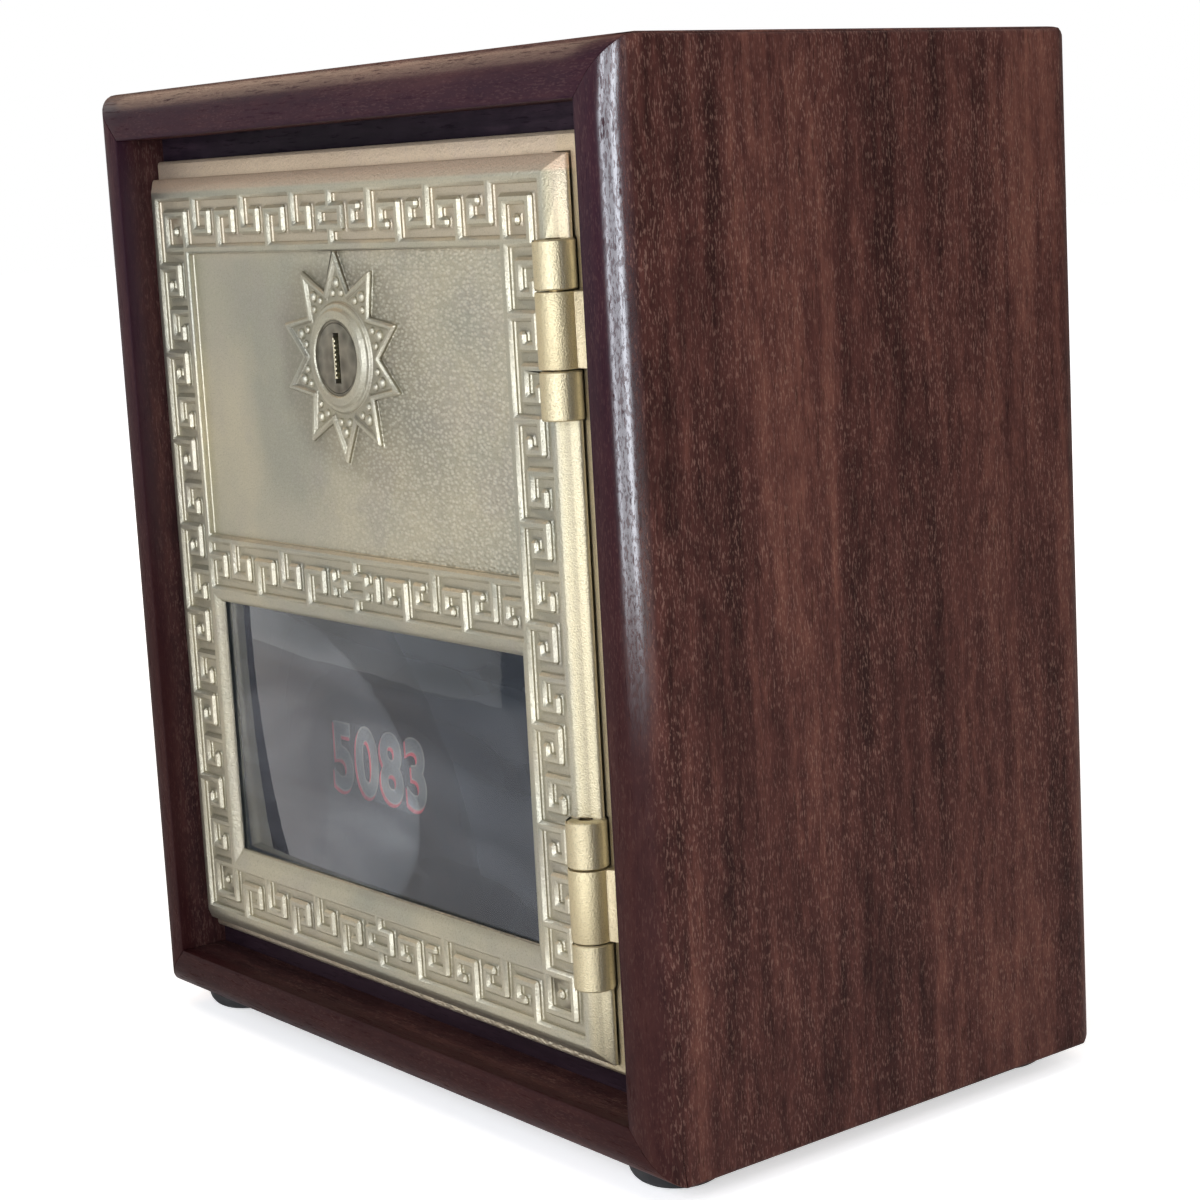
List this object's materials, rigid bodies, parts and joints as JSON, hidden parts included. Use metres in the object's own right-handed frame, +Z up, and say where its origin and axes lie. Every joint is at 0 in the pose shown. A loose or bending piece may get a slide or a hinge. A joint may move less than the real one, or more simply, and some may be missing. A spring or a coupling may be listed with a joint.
{
  "type": "post office box door unit in a wooden box",
  "caption": "Hinged cast brass box door with key-pattern border, star, round lock and numbered glass window, in a mitred walnut box on rubber feet",
  "frame": {"origin": "centre of the box's footprint, on the plane its feet stand on", "axes": "-Y is the front with the door, +X is the hinge side, +Z is up"},
  "size_m": [0.167, 0.106, 0.1896],
  "materials": {
    "walnut": "oiled dark walnut, satin",
    "dark_wood": "dark stained wood",
    "cast_brass": "cast brass, satin, aged olive tone",
    "plain_brass": "drawn brass",
    "wafer_brass": "stamped brass",
    "lock_metal": "worn plated steel, brownish",
    "steel": "zinc plated",
    "glass": "clear flat glass",
    "gilt_film": "gilt digits with red shading on clear film",
    "rubber": "black domed rubber"
  },
  "bodies": {
    "box": {"top_board": "walnut", "bottom_board": "walnut", "left_board": "walnut", "right_board": "walnut", "front_panel": "dark_wood", "front_left_foot": "rubber", "front_right_foot": "rubber", "rear_left_foot": "rubber", "rear_right_foot": "rubber", "door_frame": "cast_brass", "frame_screws": "steel", "upper_hinge_pin": "plain_brass", "lower_hinge_pin": "plain_brass", "back_panel": "dark_wood", "top_cleat": "dark_wood", "bottom_cleat": "dark_wood", "back_screws": "steel"},
    "door": {"door_casting": "cast_brass", "lock_shell": "lock_metal", "window_glass": "glass", "number_transfer": "gilt_film", "glass_retainer": "plain_brass", "retainer_screws": "steel", "lock_case": "steel", "case_screws": "steel"},
    "plug": {"lock_plug": "lock_metal", "lock_wafers": "wafer_brass", "plug_cam": "steel", "cam_screw": "steel"},
    "bolt": {"lock_bolt": "steel"}
  },
  "joints": [
    {"name": "door_hinge", "type": "hinge", "parent": "box", "child": "door", "pos_m": [0.05961, -0.0471, 0.09555], "axis": [0, 0, 1], "range_deg": [0, 115]},
    {"name": "plug_turn", "type": "hinge", "parent": "door", "child": "plug", "pos_m": [-0.00625, -0.048, 0.13787], "axis": [0, -1, 0], "range_deg": [0, 90]},
    {"name": "bolt_slide", "type": "slide", "parent": "door", "child": "bolt", "axis": [-1, 0, 0], "range_m": [0, 0.00707]}
  ],
  "couplings": [
    {"joint": "plug_turn", "follows": "bolt_slide", "rad_per_m": 222.14}
  ]
}
